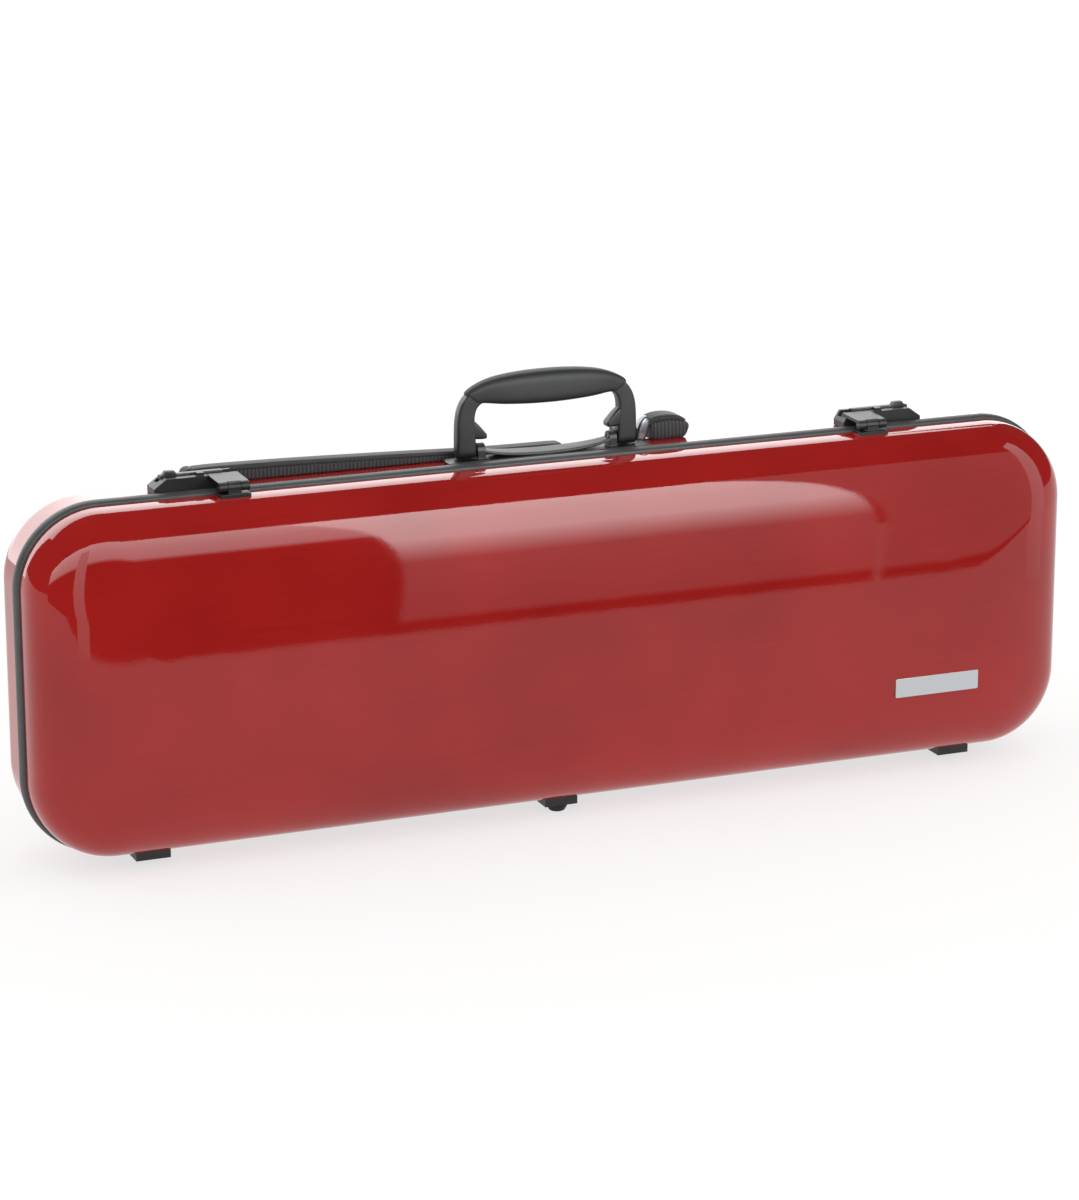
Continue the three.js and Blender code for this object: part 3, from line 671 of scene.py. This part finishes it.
# The latch's sliding bar. level is the height of its middle in the slide's box, and thumb pairs the distance
# from the outer end with the thickness there.
slide = {"level": 2.3, "tip": 4.4, "lead": 0.6, "bar": 4.6,
         "thumb": [(12, 4.6), (10.5, 6.8), (4, 7), (2.4, 4.6)], "corner": 0.16}


def addSlides():
    # Each bar has a raised thumb piece near its outer end.
    for name, side, turn in (("left", -1, 180), ("right", 1, 0)):
        node = "latch_slide_" + name
        low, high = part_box(node)
        inner, outer = (low.x, high.x) if side > 0 else (high.x, low.x)
        start, end = inner / mm, outer / mm
        y = ((low.y + high.y) / 2 - seam["y"]) / mm
        z = (low.z - seam["z"]) / mm + slide["level"]
        wide = (high.y - low.y) / mm
        run = [(start, slide["tip"]), (start + side * slide["lead"], slide["bar"])]
        run += [(end - side * back, thick) for back, thick in slide["thumb"]]
        run.append((end, slide["tip"]))
        stations = [(x, z + (thick - slide["bar"]) / 2, turn, thick, wide) for x, thick in run]
        bar = loft(y, stations, corner=slide["corner"], levels=0)
        finishPiece(bar, "slide_bar_" + name, fittingPlastic, node, [node])


addSlides()
print("handle and slides ready")

# The folded strap on the base's top. run is x and thickness from left to right. hem, bundle, loop and hook
# are stations with their z measured up from the strap's underside.
strap = {
    "y": 42, "lift": 0.6, "width": 16,
    "run": [(-265, 3.4), (-264, 6), (-261, 8), (-253, 8.6), (-220, 8.2), (-180, 7.4), (-140, 6.2), (-100, 5),
            (-70, 3.8), (-30, 2.6), (14, 2.6), (17.6, 2), (18, 1.4)],
    "piping": {"y": 39.5, "rise": 1, "least": 2.2, "share": 0.32, "width": 12.5},
    "hem": [(-265, 4, 90, 3, 12), (-265, 8.5, 90, 3.6, 12), (-263.5, 10.6, 50, 2.4, 11),
            (-259, 11.2, 10, 1.6, 10)],
    "bundle": [(88, 5, 0, 11, 17), (89.5, 5.8, 6, 14, 19), (98, 6.6, 2, 15.4, 20), (109, 6.4, -3, 15, 20),
               (116, 5.2, -14, 12.6, 19), (118.5, 3.6, -30, 8, 17)],
    "loop": [(82, 7.6, 62, 3.6, 13), (87, 13.8, 32, 4.2, 15), (95, 15.8, 6, 4.4, 16),
             (105, 15.6, -5, 4.2, 16), (112, 13.8, -24, 3.8, 15), (116.5, 10.2, -52, 3, 14)],
    "hook": [(79, -0.4, 74, 7, 8), (79.6, 1.6, 74, 8.6, 9.5), (82.6, 11.6, 74, 8.6, 9.5),
             (83.6, 14.6, 64, 6, 8.6), (86, 17.2, 34, 3.4, 7)],
    "hemY": 40, "bundleY": 46, "loopY": 44, "hookY": 40,
    "ring": {"x": 75, "y": 44, "rise": 3.6, "radius": 5, "wire": 1.4},
}


def raised(under, stations):
    return [(x, under + rise, turn, thick, depth) for x, rise, turn, thick, depth in stations]


def addStrap():
    under = baseTopAt(strap["y"]) + strap["lift"]
    run = [(x, under + thick / 2, 0, thick, strap["width"]) for x, thick in strap["run"]]
    body = loft(strap["y"], run, corner=0.2)
    finishPiece(body, "folded_strap", ribbedWebbing, "base",
                ["strap_pad", "strap_webbing_left", "strap_hook_left", "strap_ring_left",
                 "strap_anchor_left"], smooth=60)
    piping = strap["piping"]
    tube = [(x, under + thick + piping["rise"], 0, piping["share"] * thick + piping["least"], piping["width"])
            for x, thick in strap["run"][1:-1]]
    finishPiece(loft(piping["y"], tube, corner=0.48, segments=4), "strap_piping", padCloth,
                "base", smooth=80)
    hem = loft(strap["hemY"], raised(under, strap["hem"]))
    finishPiece(hem, "strap_end_seam", padCloth, "base", smooth=60)

    folds = loft(strap["bundleY"], raised(under, strap["bundle"]), corner=0.26, levels=2)
    finishPiece(folds, "folded_webbing", ribbedWebbing, "base", ["strap_webbing_right"],
                smooth=70)
    loop = loft(strap["loopY"], raised(under, strap["loop"]), levels=2)
    finishPiece(loop, "webbing_loop", padCloth, "base", smooth=70)


def addSnapHook():
    under = baseTopAt(strap["y"]) + strap["lift"]
    clip = loft(strap["hookY"], raised(under, strap["hook"]), corner=0.24, levels=2)
    finishPiece(clip, "snap_hook", gunmetal, "base", ["strap_hook_right"], smooth=60)
    ring = strap["ring"]
    deselectAll()
    bpy.ops.mesh.primitive_torus_add(location=place(ring["x"], ring["y"], under + ring["rise"]),
                                     rotation=(math.pi / 2, 0, 0), major_radius=ring["radius"] * mm,
                                     minor_radius=ring["wire"] * mm, major_segments=36, minor_segments=12)
    finishPiece(bpy.context.object, "snap_ring", gunmetal, "base", ["strap_ring_right"],
                smooth=80)


addStrap()
addSnapHook()
print("strap ready")

# How the cushions inside are filled: the size of their cells and the most that a point may move, in mm, the
# pressure and stiffness of the cloth, and the length of the simulation in frames.
padding = {"weld": 0.02, "cell": 4, "restCell": 2.4, "pressure": 4, "tension": 20, "bending": 0.6,
           "frames": 20, "most": 2.5, "rounding": 3}
# The glued coverings: the cells of each, in mm, and how often its edges are rounded.
covering = {"tray": 2.6, "lining": 2.2, "tipPocket": 1.3, "thin": 0.8, "rounding": 6}


def copyOf(node, name):
    # A new piece that starts from the CAD solid's surface.
    deselectAll()
    made = frame["nodes"][node].copy()
    made.data = made.data.copy()
    made.modifiers.clear()
    bpy.context.scene.collection.objects.link(made)
    made.hide_render = False
    activate(made)
    made.name = name
    modify(made, "WELD", merge_threshold=padding["weld"] * mm)
    return made


def puff(obj, cell):
    # Fills a cloth skin with air, and keeps each point within a small distance of its place.
    modify(obj, "REMESH", mode="VOXEL", voxel_size=cell * mm)
    before = [vert.co.copy() for vert in obj.data.vertices]
    cloth = obj.modifiers.new("cloth", "CLOTH")
    cloth.settings.use_pressure = True
    cloth.settings.uniform_pressure_force = padding["pressure"]
    cloth.settings.effector_weights.gravity = 0
    cloth.settings.tension_stiffness = padding["tension"]
    cloth.settings.bending_stiffness = padding["bending"]
    scene = bpy.context.scene
    scene.frame_start, scene.frame_end = 1, padding["frames"]
    cloth.point_cache.frame_start, cloth.point_cache.frame_end = 1, padding["frames"]
    for number in range(1, padding["frames"] + 1):
        scene.frame_set(number)
    bpy.ops.object.modifier_apply(modifier=cloth.name)
    scene.frame_set(1)
    most = padding["most"] * mm
    for vert, start in zip(obj.data.vertices, before):
        move = vert.co - start
        if move.length > most:
            vert.co = start + move.normalized() * most


def addCushion(node, name, body, cell):
    cushion = copyOf(node, name)
    puff(cushion, cell)
    modify(cushion, "SMOOTH", factor=0.5, iterations=padding["rounding"])
    modify(cushion, "SUBSURF", levels=1, render_levels=1)
    finishPiece(cushion, name, plush, body, [node], smooth=180)


def addCovered(node, name, material, body, cell):
    # Foam or board with cloth glued over it: the same hollows, with every edge rounded.
    covered = copyOf(node, name)
    modify(covered, "REMESH", mode="VOXEL", voxel_size=cell * mm)
    modify(covered, "SMOOTH", factor=0.5, iterations=covering["rounding"])
    finishPiece(covered, name, material, body, [node], smooth=180)


def addInterior():
    for part in ("end", "neck", "body"):
        addCovered("foam_" + part, "tray_" + part, plush, "base", covering["tray"])
    addCovered("lid_lining", "lid_padding", plush, "lid", covering["lining"])
    addCushion("end_cushion", "end_pad", "base", padding["cell"])
    addCushion("heel_cushion", "heel_pad", "base", padding["cell"])
    addCushion("neck_cradle", "neck_pad", "base", padding["cell"])
    addCushion("bow_rest_upper", "bow_pad_upper", "lid", padding["restCell"])
    addCushion("bow_rest_lower", "bow_pad_lower", "lid", padding["restCell"])
    addCovered("bow_tip_pocket", "tip_pocket", pocketCloth, "lid", covering["tipPocket"])
    addCovered("pocket_lid", "pocket_flap", pocketCloth, "pocket_lid", covering["thin"])
    addCovered("neck_strap", "neck_band", padCloth, "base", covering["thin"])


addInterior()
print("interior ready")
